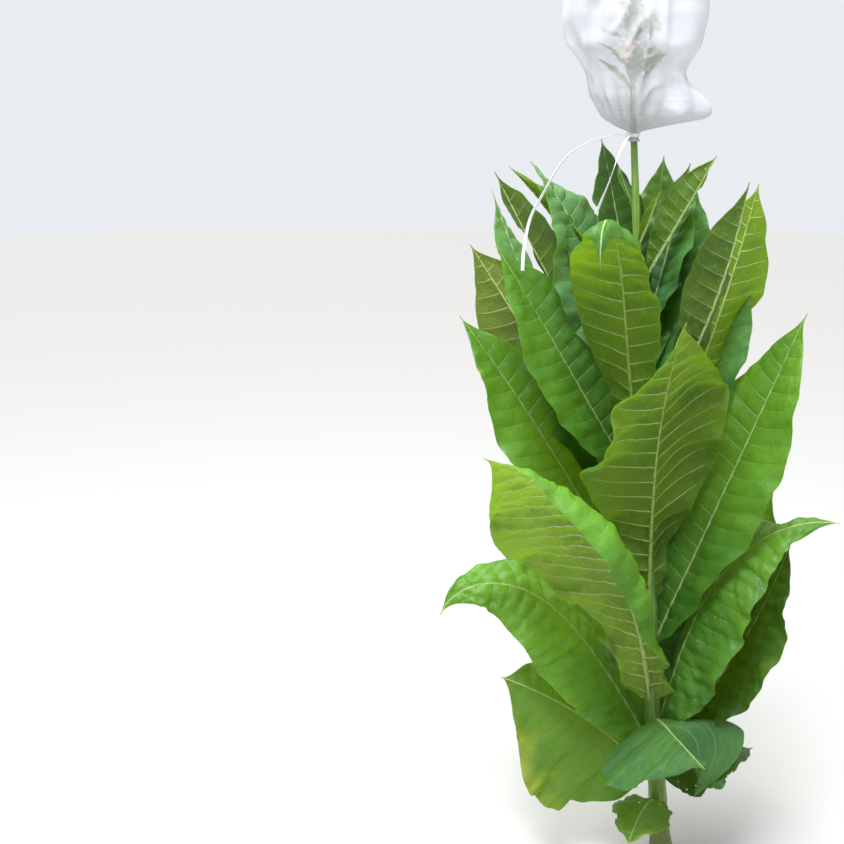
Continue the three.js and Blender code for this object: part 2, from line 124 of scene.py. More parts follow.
# The flower head
HEAD_HEIGHT = 165
HEAD_LEAN = 4
BRANCHES = 12
BRANCH_SPAN = (0.22, 0.92)
BRANCH_LENGTH = 58
BRANCH_SHORTENS = 0.55
BRANCH_RISE = (48, 68)
BRANCH_BOW = 10          # how far its tip bends up
GOLDEN_ANGLE = 137.5
MAIN_RADII = (4.2, 1.3)  # of each stalk, at its foot and at its tip
BRANCH_RADII = (1.8, 0.9)
PEDICEL_RADII = (0.7, 0.55)
DROOP = 0.12
# What the stalks bear: the share of each kind, and its length
KINDS = {"capsule": (0.62, 15), "bud": (0.28, 26), "flower": (0.1, 34)}
# Their outlines, as heights and radii beside the length, and the ring where the calyx ends
CAPSULE = [
    (0, 0.1), (0.05, 0.2), (0.2, 0.27), (0.42, 0.26), (0.5, 0.24), (0.62, 0.2), (0.8, 0.13),
    (0.93, 0.06), (1, 0.02)]
BUD = [
    (0, 0.06), (0.04, 0.1), (0.14, 0.15), (0.3, 0.15), (0.34, 0.1), (0.6, 0.085), (0.85, 0.13),
    (0.95, 0.1), (1, 0.02)]
FLOWER = [
    (0, 0.05), (0.04, 0.08), (0.12, 0.11), (0.26, 0.11), (0.3, 0.06), (0.6, 0.07), (0.85, 0.12),
    (0.95, 0.24), (0.98, 0.36), (0.96, 0.38), (0.93, 0.24), (0.85, 0.08), (0.7, 0.04)]
CALYX_END = 4
PETAL_LOBE = 0.16

# The camera and the floor, in metres
LENS = 50
SENSOR = 36
EYE = (0, -1.95, 1.28)
TILT_DOWN = 14
TURN_LEFT = 13
FLOOR_RADIUS = 14


@dataclass
class Leaf:
    """One blade: where it leaves the stem, how its midrib runs, and how its halves fold.

    rise and roll are at the foot and at the tip. left and right are how far a half is folded up at
    the foot and at the tip, and how far it curls between midrib and margin."""
    at: float
    heading: float
    rise: tuple
    length: float
    width: float
    left: tuple
    turn: float = 0          # how far the heading turns
    bend: float = 1          # how late the rise changes
    roll: tuple = (0, 0)
    right: tuple = None      # like left, unless given
    widest: float = 0.52
    wing: float = 0.16       # width of the foot
    waves: tuple = (1, 4)    # size and number of the ripples along each margin
    tuck: tuple = (0, 0, 0, 0.3)    # more fold at the foot: left, right, and the stretch that ends it


# From the lowest to the highest: at, heading, rise, length, width and left, then what else differs
LEAVES = {
    1: Leaf(105, -108, (30, -42), 140, 110, (5, 0, -20), bend=0.9),
    2: Leaf(150, 200, (50, 18), 340, 338, (-45, -45, -20), turn=-12, bend=1.2, roll=(25, 30),
        right=(10, 5, -25), widest=0.45, wing=0.3),
    3: Leaf(155, -14, (38, 4), 172, 185, (5, -5, -30), turn=45, roll=(-18, 10), right=(-8, 20, -30)),
    4: Leaf(180, 98, (58, 0), 480, 230, (20, 0, -20), turn=10, bend=1.5),
    5: Leaf(190, 8, (55, 75), 450, 210, (25, 5, -20), bend=1.2, roll=(-25, -25), wing=0.3),
    6: Leaf(215, 191, (59, -70), 547, 216, (-23, -25, -15), turn=13, bend=3.6, roll=(14, 34),
        right=(-10, -2, -15), widest=0.44, wing=0.4),
    7: Leaf(230, 36, (62, 66), 500, 170, (25, 10, -15), bend=1.2, roll=(-10, -10)),
    8: Leaf(262, -18, (77, -3), 527, 232, (-30, -20, -20), turn=13, bend=2.7, roll=(-49, -34),
        right=(3, -4, -20), widest=0.4, wing=0.42),
    9: Leaf(265, -80, (29, -19), 217, 282, (-99, -40, -55), turn=34, roll=(-15, -9),
        right=(-19, -28, -21), widest=0.43, wing=0.27, tuck=(72, 0, 0.38, 0.58)),
    10: Leaf(300, -123, (78, 25), 630, 331, (-58, -54, -122), turn=-29, bend=1.21, roll=(-46, -83),
        right=(25, 46, -20), widest=0.65, wing=0.33, tuck=(40, 0, 0.04, 0.3)),
    11: Leaf(310, 84, (61, 25), 520, 230, (20, 5, -20), bend=1.5),
    12: Leaf(350, 112, (64, 30), 530, 190, (25, 5, -20), bend=1.5),
    13: Leaf(410, 5, (70, 70), 620, 220, (20, 10, -15), bend=1.5, roll=(-35, -35), right=(15, 10, -15),
        wing=0.3),
    14: Leaf(450, 181, (62, 52), 620, 210, (5, 5, -15), bend=1.2, roll=(30, 30), right=(25, 30, -15),
        wing=0.3),
    15: Leaf(470, 95, (70, 45), 540, 200, (15, 0, -20), bend=1.5, right=(25, 5, -20)),
    16: Leaf(475, -95, (80, 61), 558, 280, (48, 18, -75), turn=35, bend=1.2, roll=(-25, -13),
        right=(12, -21, -25), widest=0.6, wing=0.25, waves=(1.5, 4)),
    17: Leaf(520, 152, (54, 20), 550, 160, (20, 10, -15), bend=3, roll=(-20, -10), right=(30, 20, -15)),
    18: Leaf(570, 80, (64, 52), 500, 200, (10, 0, -20), bend=1.5, right=(25, 5, -20)),
    19: Leaf(600, 55, (62, 70), 560, 180, (30, 10, -15), bend=1.2, wing=0.25),
    20: Leaf(610, 163, (56, 53), 582, 219, (10, 5, -15), turn=2, roll=(-37, -93), widest=0.58),
    21: Leaf(640, -125, (77, -150), 682, 157, (39, -43, -52), turn=36, bend=6.7, right=(41, -45, -15),
        widest=0.61),
    22: Leaf(640, 96, (66, 60), 420, 170, (25, 5, -20), bend=1.5),
    23: Leaf(670, 195, (60, 58), 500, 180, (20, 10, -15), bend=1.5, roll=(50, 50), right=(45, 35, -15),
        wing=0.3),
    24: Leaf(690, 30, (63, 78), 533, 195, (6, 5, -15), turn=-9, bend=0.79, roll=(37, 79),
        right=(8, 6, -15), widest=0.6, wing=0.3),
    25: Leaf(730, 147, (38, 57), 595, 170, (11, -8, -15), turn=-17, bend=0.93, roll=(-4, -29),
        right=(21, -10, -15), widest=0.45),
    26: Leaf(780, -34, (57, 80), 461, 114, (13, 43, -10), turn=-11, bend=1.11, roll=(22, -20),
        right=(37, 46, -10), widest=0.66),
    27: Leaf(790, 175, (55, 62), 495, 167, (15, 17, -15), turn=2, bend=0.94, roll=(-16, -37),
        right=(25, 13, -15), widest=0.64),
    28: Leaf(800, 62, (75, 70), 430, 170, (30, 10, -15), bend=1.2),
    29: Leaf(860, 84, (74, 66), 400, 130, (25, 5, -20), bend=1.5),
    30: Leaf(885, 178, (67, 49), 395, 180, (-14, 2, -15), turn=13, bend=2.25, roll=(55, 12),
        right=(14, 17, -15), widest=0.45),
    31: Leaf(930, 48, (72, 74), 310, 130, (30, 10, -15), bend=1.2),
    32: Leaf(930, 165, (57, 44), 374, 108, (52, 41, -15), turn=6, bend=1.22, roll=(5, -3),
        right=(55, 40, -15)),
    33: Leaf(960, 140, (72, 72), 320, 130, (30, 10, -15), bend=1.2),
    34: Leaf(1030, -13, (62, 60), 241, 79, (35, 33, -15), turn=-20, bend=1.21, roll=(15, 16),
        right=(46, 45, -15), widest=0.58),
    35: Leaf(1095, -35, (64, 72), 95, 26, (35, 20, -10)),
    36: Leaf(1150, 150, (60, 70), 80, 20, (35, 20, -10)),
}

# Small bracts on the stalk inside the bag
HEAD_BRACTS = {
    51: Leaf(1338, -150, (52, 25), 80, 26, (20, 10, -10)),
    52: Leaf(1350, -20, (55, 20), 72, 23, (20, 10, -10)),
    53: Leaf(1362, 75, (55, 30), 60, 18, (20, 10, -10)),
    54: Leaf(1375, 190, (50, 20), 66, 20, (20, 10, -10)),
}

# How each blade is coloured. The ripe blades are yellower with age, and the olive one is darker and
# browner underneath. The pale and light blades are lit copies of the green with painted sunlight, the
# light one also bluer with a painted sheen of the sky; the dark ones are a shaded copy with painted
# shade; the blue ones carry a painted reflection of the sky. All others are plain green ones.
FINISHES = {
    "ripe": (1, 2), "painted_shade": (3, 5, 26, 27, 33), "pale": (6, 10), "painted_sky_sheen": (9, 19, 25, 28, 31, 34),
    "olive": (20,), "light": (30,),
}
FINISH_OF = {number: finish for finish, numbers in FINISHES.items() for number in numbers}
PUCKERED = {2: 0.7, 5: 1.4, 6: 1.8, 8: 1.6, 9: 0.6, 10: 1.4}
RAGGED = {1: 0.28, 3: 0.2}    # how much of a blade is eaten


class Socket:
    """The output of a node. Sums on it add the Math nodes that they need."""

    def __init__(self, tree, output):
        self.tree = tree
        self.output = output

    def __add__(self, other):
        return self.tree.maths("ADD", self, other)

    def __sub__(self, other):
        return self.tree.maths("SUBTRACT", self, other)

    def __rsub__(self, other):
        return self.tree.maths("SUBTRACT", other, self)

    def __mul__(self, other):
        return self.tree.maths("MULTIPLY", self, other)

    def __abs__(self):
        return self.tree.maths("ABSOLUTE", self)

    __radd__ = __add__
    __rmul__ = __mul__


class Tree:
    """A node tree under construction."""

    def __init__(self, nodes):
        self.tree = nodes

    def node(self, kind, values=None, settings=None, output=0):
        """Adds a node: its settings first, then the values or links of its sockets."""
        made = self.tree.nodes.new(kind)
        for name, setting in (settings or {}).items():
            setattr(made, name, setting)
        for socket, value in (values or {}).items():
            if isinstance(value, Socket):
                self.tree.links.new(value.output, made.inputs[socket])
            else:
                made.inputs[socket].default_value = value
        return Socket(self, made.outputs[output])

    def maths(self, operation, *values):
        return self.node("ShaderNodeMath", dict(enumerate(values)), {"operation": operation})

    def place(self):
        return self.node("ShaderNodeTexCoord", output="Object")

    def attribute(self, name):
        return self.node("ShaderNodeAttribute", None, {"attribute_name": name}, output="Vector")

    def point_value(self, name, kind="FLOAT"):
        """An attribute of the points, in a geometry tree."""
        return self.node("GeometryNodeInputNamedAttribute", {"Name": name}, {"data_type": kind})

    def parts(self, vector):
        split = self.node("ShaderNodeSeparateXYZ", {0: vector}).output.node
        return [Socket(self, output) for output in split.outputs]

    def vector(self, x, y, z):
        return self.node("ShaderNodeCombineXYZ", {0: x, 1: y, 2: z})

    def noise(self, place, scale, detail=3):
        values = {"Vector": place, "Scale": scale, "Detail": detail}
        return self.node("ShaderNodeTexNoise", values)

    def step(self, value, low, high):
        """From 0 at low to 1 at high, smoothly; low may be the larger one."""
        values = {0: value, 1: low, 2: high, 3: 0, 4: 1}
        return self.node("ShaderNodeMapRange", values, {"interpolation_type": "SMOOTHSTEP"})

    def mix(self, factor, first, second):
        """A mix of two colours, each a link or (red, green, blue)."""
        first, second = [c if isinstance(c, Socket) else (*c, 1) for c in (first, second)]
        values = {0: factor, 6: first, 7: second}
        return self.node("ShaderNodeMix", values, {"data_type": "RGBA"}, output=2)

    def bump(self, height, distance):
        return self.node("ShaderNodeBump", {"Height": height, "Distance": distance})

    def surface(self, values):
        return self.node("ShaderNodeBsdfPrincipled", values)

    def lit_through(self, share, shader, colour):
        """A shader that also lets light of one colour through."""
        light = self.node("ShaderNodeBsdfTranslucent", {"Color": (*colour, 1)})
        return self.node("ShaderNodeMixShader", {0: share, 1: shader, 2: light})


def new_material(name):
    """An empty material's tree, and a function that joins a shader to its output."""
    material = bpy.data.materials.new(name)
    material.use_nodes = True
    material.node_tree.nodes.clear()
    tree = Tree(material.node_tree)

    def finish(shader):
        end = material.node_tree.nodes.new("ShaderNodeOutputMaterial")
        material.node_tree.links.new(shader.output, end.inputs["Surface"])
        return material
    return tree, finish


@dataclass
class UpperSide:
    """Colours of a blade's upper side, and how much it shows of its veins and of light behind it."""
    body: tuple
    deep: tuple
    vein: tuple
    aged: tuple
    middle: tuple = (0.42, 0.5, 0.2)
    glow: tuple = (0.7, 0.95, 0.1)
    clear: float = 0.3
    rough: float = 0.38
    veins: float = 0.3       # how strongly they are coloured
    ridge: float = -0.0008   # metres: how far they stand out, or less than 0 where they are sunk
    ageing: float = 0.15


@dataclass
class UnderSide(UpperSide):
    """The same of its lower side."""
    rough: float = 0.6
    veins: float = 0.6
    ridge: float = 0.0018


def leaf_material(name, finish):
    """One side of a blade: ribs, a net of small veins, mottling and an ageing margin."""
    tree, done = new_material(name)
    flat = tree.attribute("flat")
    along, across, seed = tree.parts(flat)
    rib, out, share = tree.parts(tree.attribute("ribs"))
    # Distance to the nearest side rib, as a share of the space between two
    near = 0.5 - abs(tree.maths("FRACT", rib) - 0.5)
    side_width = 0.085 - 0.055 * out
    side = tree.step(near, side_width, side_width * 0.35) * tree.step(out, 1.02, 0.8)
    middle_width = 0.0042 - 0.0032 * share
    middle = tree.step(abs(across), middle_width, middle_width * 0.5)
    ladder = tree.vector(rib * 1.3, across * 95, seed)
    net = tree.node("ShaderNodeTexVoronoi", {"Vector": ladder, "Scale": 1.6},
                    {"feature": "DISTANCE_TO_EDGE"}, output="Distance")
    net = tree.step(net, 0.07, 0.0)
    ribs = tree.maths("MAXIMUM", side, middle)
    patches = tree.step(tree.noise(flat, 9, 4), 0.35, 0.68)
    mottle = tree.step(tree.noise(flat, 70), 0.3, 0.7)
    colour = tree.mix(patches, finish.deep, finish.body)
    colour = tree.mix(mottle * 0.25, colour, finish.deep)
    old = tree.noise(flat, 14, 4) * 0.9 + out * 0.35 + share * 0.25
    colour = tree.mix(tree.step(old, 1.15 - finish.ageing, 1.55 - finish.ageing), colour, finish.aged)
    colour = tree.mix(net * 0.22, colour, finish.vein)
    colour = tree.mix(side * finish.veins, colour, finish.vein)
    colour = tree.mix(middle * 0.85, colour, finish.middle)
    rise = side * (1 if finish.ridge > 0 else -1) + middle * 0.5
    height = rise + net * 0.25 + tree.noise(flat, 220, 2) * 0.35
    shine = tree.surface({
        "Base Color": colour, "Roughness": finish.rough + mottle * 0.12,
        "Normal": tree.bump(height, abs(finish.ridge)), "Specular IOR Level": 0.35})
    return done(tree.lit_through(finish.clear * (1 - 0.35 * ribs), shine, finish.glow))


# Both sides of each kind of blade: body, deep, vein and aged colours, then what else differs
LEAF_FINISHES = {
    "green": (
        UpperSide((0.075, 0.2, 0.022), (0.03, 0.12, 0.014), (0.2, 0.36, 0.09), (0.2, 0.3, 0.03)),
        UnderSide((0.18, 0.28, 0.02), (0.09, 0.18, 0.012), (0.6, 0.66, 0.24), (0.3, 0.33, 0.03),
            middle=(0.5, 0.58, 0.2), clear=0.45, veins=0.75)),
    # Painted reflection: a copy of the green with the bluish sheen of the sky painted into its colours.
    "painted_sky_sheen": (
        UpperSide((0.07, 0.2, 0.05), (0.03, 0.12, 0.035), (0.24, 0.38, 0.14), (0.12, 0.26, 0.06),
            ridge=-0.0006),
        UnderSide((0.14, 0.24, 0.03), (0.08, 0.16, 0.02), (0.5, 0.58, 0.24), (0.2, 0.28, 0.04),
            ridge=0.0016)),
    # Painted light: a lit copy of the green, paler with painted sunlight and bluer with a painted sheen
    # of the sky.
    "light": (
        UpperSide((0.13, 0.26, 0.1), (0.065, 0.18, 0.055), (0.3, 0.44, 0.18), (0.16, 0.3, 0.09),
            ridge=-0.0006),
        UnderSide((0.16, 0.26, 0.04), (0.1, 0.18, 0.03), (0.5, 0.58, 0.24), (0.2, 0.28, 0.04),
            ridge=0.0016)),
    "ripe": (
        UpperSide((0.07, 0.17, 0.02), (0.036, 0.115, 0.013), (0.2, 0.32, 0.08), (0.33, 0.33, 0.04),
            clear=0.27, rough=0.42, veins=0.35, ridge=-0.0006, ageing=0.33),
        UnderSide((0.28, 0.37, 0.05), (0.17, 0.27, 0.03), (0.64, 0.66, 0.28), (0.42, 0.38, 0.06),
            clear=0.45, veins=0.8, ageing=0.4)),
    # Painted light: a lit copy of the green, paler with painted sunlight, most of all on the lower
    # side.
    "pale": (
        UpperSide((0.1, 0.27, 0.03), (0.05, 0.17, 0.02), (0.24, 0.42, 0.1), (0.2, 0.32, 0.03),
            clear=0.35),
        UnderSide((0.32, 0.41, 0.075), (0.21, 0.31, 0.045), (0.8, 0.82, 0.44), (0.36, 0.4, 0.06),
            middle=(0.6, 0.68, 0.28), clear=0.5, veins=0.8)),
    "olive": (
        UpperSide((0.075, 0.18, 0.022), (0.04, 0.11, 0.014), (0.2, 0.34, 0.09), (0.2, 0.2, 0.04),
            rough=0.4),
        UnderSide((0.115, 0.15, 0.015), (0.065, 0.1, 0.01), (0.42, 0.46, 0.16), (0.17, 0.13, 0.03),
            clear=0.24, ridge=0.0016, ageing=0.3)),
    # Painted shade: a shaded copy of the green, darker on both sides.
    "painted_shade": (
        UpperSide((0.027, 0.1, 0.011), (0.014, 0.055, 0.008), (0.11, 0.21, 0.04), (0.12, 0.13, 0.025),
            clear=0.2, rough=0.45, veins=0.5, ridge=-0.0006, ageing=0.2),
        UnderSide((0.09, 0.17, 0.015), (0.05, 0.11, 0.01), (0.32, 0.38, 0.12), (0.18, 0.16, 0.03),
            clear=0.25, ageing=0.2)),
}
LEAF_MATERIALS = {
    name: (leaf_material(f"leaf_{name}_upper", upper), leaf_material(f"leaf_{name}_under", under))
    for name, (upper, under) in LEAF_FINISHES.items()
}


def add_object(name, data):
    """A new object in the scene."""
    made = bpy.data.objects.new(name, data)
    bpy.context.scene.collection.objects.link(made)
    return made


def new_mesh(name, points, faces, materials=(), edges=()):
    mesh = bpy.data.meshes.new(name)
    mesh.from_pydata(points, edges, faces)
    for material in materials:
        mesh.materials.append(material)
    return mesh


def finish_piece(piece, node, sharp=50):
    """Smooths a piece up to its sharp edges, and rides the root body in place of a CAD node."""
    piece.data.polygons.foreach_set("use_smooth", np.ones(len(piece.data.polygons), bool))
    piece.data.set_sharp_from_angle(angle=radians(sharp))
    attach(piece, "root")
    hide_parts(node)


def stem_centre(z):
    """The stem's middle at each height, as points."""
    z = np.asarray(z, float)
    return np.stack([-STEM_LEAN * (z / STEM_HEIGHT) ** LEAN_BOW, 0 * z, z], -1)


def stem_radius(z):
    thinned = (STEM_TIP_RADIUS - STEM_FOOT_RADIUS) * (z / STEM_HEIGHT) ** STEM_TAPER
    return STEM_FOOT_RADIUS + thinned + FLARE * np.exp(-z / FLARE_HEIGHT)


def pointing(heading, rise):
    """Unit vectors, for one or many headings and rises in radians."""
    level = np.cos(rise)
    return np.stack([level * np.cos(heading), level * np.sin(heading), np.sin(rise)], -1)


def smooth(x, low, high):
    """From 0 at low to 1 at high, smoothly."""
    t = np.clip((x - low) / (high - low), 0, 1)
    return t * t * (3 - 2 * t)


def unevenness(x, y, seed):
    """Smooth random relief over a plane, from -1 to 1, with a bump to each unit."""
    size = 64
    heights = np.random.default_rng(seed).uniform(-1, 1, (size, size))
    i, j = np.floor(x).astype(int), np.floor(y).astype(int)
    u, v = smooth(x - i, 0, 1), smooth(y - j, 0, 1)
    a, b = heights[i % size, j % size], heights[(i + 1) % size, j % size]
    c, d = heights[i % size, (j + 1) % size], heights[(i + 1) % size, (j + 1) % size]
    return (a * (1 - u) + b * u) * (1 - v) + (c * (1 - u) + d * u) * v


def outline(leaf, s):
    """The half width along a blade, as a share of the largest."""
    power = np.log(0.5) / np.log(leaf.widest)
    body = np.maximum(np.sin(pi * np.clip(s, 0, 1) ** power), 0) ** (FULLNESS + DRAWN_OUT * s)
    foot = leaf.wing * (1 - s) ** 2 * (CLASP + (1 - CLASP) * smooth(s, 0, CLASP_END))
    return np.sqrt(body ** 2 + foot ** 2) * (1 - s ** TIP_CUT)


def midrib(leaf, rows):
    """Points along the midrib with the directions to its right and out of the upper side."""
    def axes(s):
        rise = np.radians(leaf.rise[0] + (leaf.rise[1] - leaf.rise[0]) * s ** leaf.bend)
        heading = np.radians(leaf.heading + leaf.turn * s ** TURN_LATE)
        roll = np.radians(leaf.roll[0] + (leaf.roll[1] - leaf.roll[0]) * s)[:, None]
        right, up = pointing(heading - pi / 2, 0 * rise), pointing(heading, rise + pi / 2)
        right, up = right * np.cos(roll) + up * np.sin(roll), up * np.cos(roll) - right * np.sin(roll)
        return pointing(heading, rise), right, up
    steps = rows * MIDRIB_STEPS
    along, _, _ = axes((np.arange(steps) + 0.5) / steps)
    away = pointing(radians(leaf.heading), 0)
    foot = stem_centre(leaf.at) + (stem_radius(leaf.at) - LEAF_SUNK) * away
    points = foot + np.vstack([[0, 0, 0], np.cumsum(along, 0)]) * leaf.length / steps
    s = np.linspace(0, 1, rows + 1)
    _, right, up = axes(s)
    return s, points[::MIDRIB_STEPS], right, up


def blade_sheet(leaf, rows, columns):
    """The middle of a blade as a grid of points, its places along and across, and its half width."""
    s, points, right, up = midrib(leaf, rows)
    half = np.maximum(outline(leaf, s) * leaf.width / 2, LEAF_LEAST_WIDTH)
    v = np.linspace(0, 1, columns + 1) ** CROWDED
    between = (v[1:] + v[:-1]) / 2
    tucked = 1 - smooth(s, *leaf.tuck[2:])
    fade = np.clip(s / RIPPLES_FULL, 0, 1) * (1 - s ** RIPPLES_END)
    size, number = leaf.waves[0] * RIPPLE * leaf.width, leaf.waves[1]
    small_size, small_number, small_shift = SMALL_RIPPLES
    halves = []
    sides = (-1, leaf.tuck[0], leaf.left), (1, leaf.tuck[1], leaf.right or leaf.left)
    for sign, tuck, (fold_foot, fold_tip, curl) in sides:
        fold = fold_foot + (fold_tip - fold_foot) * s + tuck * tucked
        curl = curl * np.sqrt(np.maximum(np.sin(pi * s), 0))

        def slope(share):
            return np.radians(fold[:, None] + curl[:, None] * share ** 2)
        steps = np.diff(v) * half[:, None]
        out = np.pad(np.cumsum(np.cos(slope(between)) * steps, 1), ((0, 0), (1, 0)))
        lift = np.pad(np.cumsum(np.sin(slope(between)) * steps, 1), ((0, 0), (1, 0)))
        start = leaf.at * PHASE % 1 + (LEFT_BEHIND if sign < 0 else 0)
        wave = np.sin(2 * pi * (number * s + start))
        wave += small_size * np.sin(2 * pi * (small_number * number * s + small_shift * start))
        ripple = v ** 2 * (size * fade * wave)[:, None]
        out -= np.sin(slope(v)) * ripple
        lift += np.cos(slope(v)) * ripple
        aside = sign * out[..., None] * right[:, None]
        halves.append(points[:, None] + aside + lift[..., None] * up[:, None])
    sheet = np.concatenate([halves[0][:, :0:-1], halves[1]], 1)
    return sheet, s, np.concatenate([-v[:0:-1], v]), half


def sheet_normals(sheet):
    normals = np.cross(np.gradient(sheet, axis=1), np.gradient(sheet, axis=0))
    return normals / np.maximum(np.linalg.norm(normals, axis=2, keepdims=True), 1e-9)


def closed_sheet(name, upper, lower, kept, materials):
    """A thin closed mesh between two grids of points, over the cells that are kept.

    It also returns the indices of the grid points that it uses, the upper ones first, its faces, and
    how many of them are on each side."""
    rows, columns = upper.shape[:2]
    count = rows * columns
    at = np.arange(count).reshape(rows, columns)
    cells = np.stack([at[:-1, :-1], at[:-1, 1:], at[1:, 1:], at[1:, :-1]], -1)
    top = cells[kept]
    walls = []
    padded = np.pad(kept, 1)
    for side, (down, over) in enumerate([(-1, 0), (0, 1), (1, 0), (0, -1)]):
        beside = padded[1 + down:rows + down, 1 + over:columns + over]
        edge = cells[kept & ~beside]
        a, b = edge[:, side], edge[:, (side + 1) % 4]
        walls.append(np.stack([b, a, a + count, b + count], -1))
    faces = np.concatenate([top, top[:, ::-1] + count, *walls])
    used, corners = np.unique(faces, return_inverse=True)
    points = np.concatenate([upper.reshape(-1, 3), lower.reshape(-1, 3)])[used]
    mesh = new_mesh(name, points * MM, corners.reshape(faces.shape), materials)
    slots = np.ones(len(faces), np.int32)
    slots[:len(top)] = 0
    mesh.polygons.foreach_set("material_index", slots)
    return add_object(name, mesh), used, faces, len(top)


def add_vectors(mesh, name, values):
    attribute = mesh.attributes.new(name, "FLOAT_VECTOR", "POINT")
    attribute.data.foreach_set("vector", np.ascontiguousarray(values, np.float32).ravel())


def add_skin_values(mesh, name, used, *values):
    """Three values, each a grid or a number, at the points that the two skins of a grid use."""
    values = np.stack(np.broadcast_arrays(*values), -1).reshape(-1, 3)
    add_vectors(mesh, name, np.concatenate([values, values])[used])


def add_sheet_map(mesh, s, v, faces, top_count):
    """The piece's own map: the upper skin on the left, the lower on the right, the rim beside them."""
    count = len(s) * len(v)
    across = v[faces % len(v)]
    places = np.stack([0.25 + 0.235 * across, 0.01 + 0.98 * s[faces % count // len(v)]], -1)
    places[top_count:2 * top_count, :, 0] += 0.5
    rim = faces >= count
    rim[:2 * top_count] = False
    places[..., 0] += np.where(rim, 0.006 * np.sign(across), 0)
    layer = mesh.uv_layers.new(name="OFBake")
    layer.data.foreach_set("uv", places.astype(np.float32).ravel())


def side_ribs(leaf, s, v, half):
    """Where each point lies between the side ribs, which are at the whole numbers.

    They alternate, leave the midrib at about 75 degrees, and turn towards the tip near the margin."""
    out = np.abs(v)
    forward = half[:, None] / leaf.length * (RIB_SWEEP[0] * out + RIB_SWEEP[1] * out ** 2)
    count = round(RIBS + leaf.length / RIB_SPACE)
    return count * (s[:, None] - forward) + 0.5 * smooth(v, -0.015, 0.015) + FIRST_RIB


def blade_relief(number, leaf, along, across, rib, v, full):
    """How far a blade bulges up between its ribs, crumples and sags."""
    out = np.abs(v)
    dome = np.abs(np.sin(pi * rib)) ** 0.8 * np.sin(pi * out ** 0.8) ** 0.6
    dome *= 1 + 0.6 * unevenness(rib * 0.9 + 7, v * 3 + 5, number + 30)
    crease = unevenness(rib * 2.4, v * 3.2 + 9, number + 60)
    quilt = unevenness(along / 11, across / 9 + 20, number)
    quilt += 0.6 * unevenness(along / 5, across / 5, number + 50)
    puckered = PUCKERED.get(number, 1)
    pucker = PUCKER * puckered * min(leaf.length / LONG_BLADE, 1)
    relief = full * pucker * (dome + (0.3 * quilt + 0.55 * crease) * smooth(out, 0, 0.2))
    crumples = abs(unevenness(along / 24 + out * v * 2, across / 36 + along / 90, number + 140)) - 0.3
    relief += CRUMPLE * max(puckered - 1, 0) * crumples * full * smooth(out, 0.05, 0.3)
    sag = unevenness(along / 70, across / 60 + 9, number + 100)
    return relief + SAG * sag * full * smooth(out, 0.1, 0.8)


def rib_heights(leaf, s, v, across, rib):
    """How far the midrib and the side ribs stand out under a blade."""
    thick = (1 - s[:, None]) ** 1.2 * leaf.length / THICK_RIBS
    keel = (0.5 + 3.4 * thick) * np.exp(-(across / (1.2 + 3 * thick)) ** 2)
    off = (rib + 0.5) % 1 - 0.5
    side = (0.25 + 0.5 * thick) * np.exp(-(off / RIB_WIDTH) ** 2) * (1 - np.abs(v)) ** 0.5
    return keel, side


def kept_cells(number, leaf, s, v):
    """The cells of a blade, without those that insects have eaten from its sides."""
    s = (s[:-1, None] + s[1:, None]) / 2
    v = (v[None, :-1] + v[None, 1:]) / 2
    if number not in RAGGED:
        return np.ones((s.size, v.size), bool)
    bites = unevenness(s * leaf.length / BITE, v * leaf.width / (2 * BITE) + 30, number + 7)
    return (bites + 0.9 * np.abs(v) ** 4 < 1.05 - RAGGED[number]) | (np.abs(v) < 0.12)


def make_blade(name, number, leaf, node):
    """A blade with a rippled margin, sunk or raised ribs, and puckers between them."""
    finer = RAGGED_FINER if number in RAGGED else 1
    rows = max(int(leaf.length / ROW * finer), 16)
    columns = max(int(leaf.width / 2 / COLUMN * finer), 5)
    sheet, s, v, half = blade_sheet(leaf, rows, columns)
    along = (s * leaf.length)[:, None]
    across = v * half[:, None]
    rib = side_ribs(leaf, s, v, half)
    full = (smooth(s, 0, 0.12) * (1 - smooth(s, 0.85, 1)))[:, None]
    relief = blade_relief(number, leaf, along, across, rib, v, full)
    sheet = sheet + sheet_normals(sheet) * relief[..., None]
    normals = sheet_normals(sheet)
    keel, side = rib_heights(leaf, s, v, across, rib)
    upper = sheet + normals * (SKIN + 0.12 * keel)[..., None]
    lower = sheet - normals * (SKIN + keel + side * full)[..., None]
    materials = LEAF_MATERIALS[FINISH_OF.get(number, "green")]
    kept = kept_cells(number, leaf, s, v)
    piece, used, faces, top_count = closed_sheet(name, upper, lower, kept, materials)
    add_skin_values(piece.data, "flat", used, along * MM, across * MM, number * 3.7)
    add_skin_values(piece.data, "ribs", used, rib, np.abs(v), s[:, None])
    add_sheet_map(piece.data, s, v, faces, top_count)
    finish_piece(piece, node, sharp=65)


def run_nodes(name, tree, base, inputs):
    """A plain mesh object that holds what a node tree makes of the base object."""
    modifier = base.modifiers.new("nodes", "NODES")
    modifier.node_group = tree.tree
    for item in tree.tree.interface.items_tree:
        if item.in_out == "INPUT" and item.name in inputs:
            modifier[item.identifier] = inputs[item.name]
    made = base.evaluated_get(bpy.context.evaluated_depsgraph_get())
    mesh = bpy.data.meshes.new_from_object(made)
    base.modifiers.remove(modifier)
    bpy.data.objects.remove(base)
    mesh.name = name
    return add_object(name, mesh)


def wire(name, points, edges, radius=None):
    """An object of bare points and edges for a node tree to start from."""
    mesh = new_mesh(name, points, [], edges=edges)
    if radius is not None:
        mesh.attributes.new("radius", "FLOAT", "POINT").data.foreach_set("value", radius)
    return add_object(name, mesh)


def join_edges(points):
    return [(i, i + 1) for i in range(len(points) - 1)]


